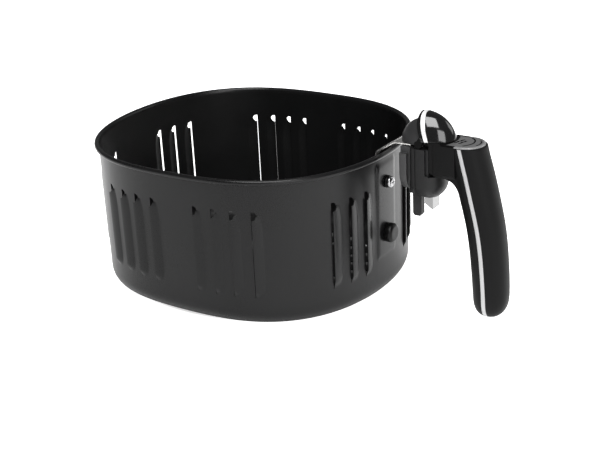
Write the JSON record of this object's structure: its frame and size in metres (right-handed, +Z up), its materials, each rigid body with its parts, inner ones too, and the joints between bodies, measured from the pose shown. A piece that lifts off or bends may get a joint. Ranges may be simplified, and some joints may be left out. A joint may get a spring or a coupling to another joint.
{
  "type": "air fryer basket",
  "caption": "Rounded-square deep frying basket with louvred walls, a rolled rim, and a side handle carrying a domed button cover, release button and latch.",
  "frame": {"origin": "centre of the basket's flat underside, on the surface it stands on", "axes": "+Z up, +X from the basket's centre towards the handle, +Y to the left when seen from the basket towards the handle"},
  "size_m": [0.2831, 0.1844, 0.1256],
  "materials": {
    "nonstick_coating": "satin black non-stick coating on pressed steel",
    "stainless_steel": "bright stainless strip",
    "plated_steel": "bright zinc plating",
    "chrome_trim": "bright plated trim",
    "matte_black_plastic": "fine matte moulded black",
    "satin_dome_plastic": "satin moulded black",
    "gloss_black_plastic": "polished black",
    "grey_lever_plastic": "dark grey moulded plastic",
    "black_rubber": "matte black silicone rubber",
    "silver_inlay": "silver painted plastic inlay",
    "top_plate_plastic": "dark grey satin",
    "grey_border": "light grey satin"
  },
  "bodies": {
    "basket": {"basket_shell": "nonstick_coating", "rim_bracket": "stainless_steel", "wall_screw": "plated_steel", "screw_spacer": "black_rubber", "rubber_bumper": "black_rubber", "mount_block": "matte_black_plastic", "handle_housing": "matte_black_plastic", "dome_cap": "satin_dome_plastic", "handle_front": "matte_black_plastic", "handle_rear": "matte_black_plastic", "silver_band": "silver_inlay", "top_plate": "top_plate_plastic", "top_plate_border": "grey_border", "latch_pin": "plated_steel", "latch_spring": "plated_steel", "button_spring": "plated_steel"},
    "cover": {"button_cover": "gloss_black_plastic", "cover_trim_ring": "chrome_trim", "cover_pin_near": "plated_steel", "cover_pin_far": "plated_steel"},
    "button": {"release_button": "satin_dome_plastic"},
    "latch": {"latch_lever": "grey_lever_plastic", "latch_hook": "plated_steel"}
  },
  "joints": [
    {"name": "cover_hinge", "type": "hinge", "parent": "basket", "child": "cover", "pos_m": [0.1276, 0, 0.1071], "axis": [0, 1, 0], "range_deg": [-85, 0]},
    {"name": "button_press", "type": "slide", "parent": "basket", "child": "button", "axis": [0, 0, -1], "range_m": [0, 0.0025], "stiffness_N_per_m": 400, "springref_m": -0.003, "deforming": ["button_spring"]},
    {"name": "latch_swing", "type": "hinge", "parent": "basket", "child": "latch", "pos_m": [0.1235, 0, 0.084], "axis": [0, 1, 0], "range_deg": [0, 18.5]}
  ],
  "couplings": [
    {"joint": "latch_swing", "follows": "button_press", "rad_per_m": 125.66}
  ]
}
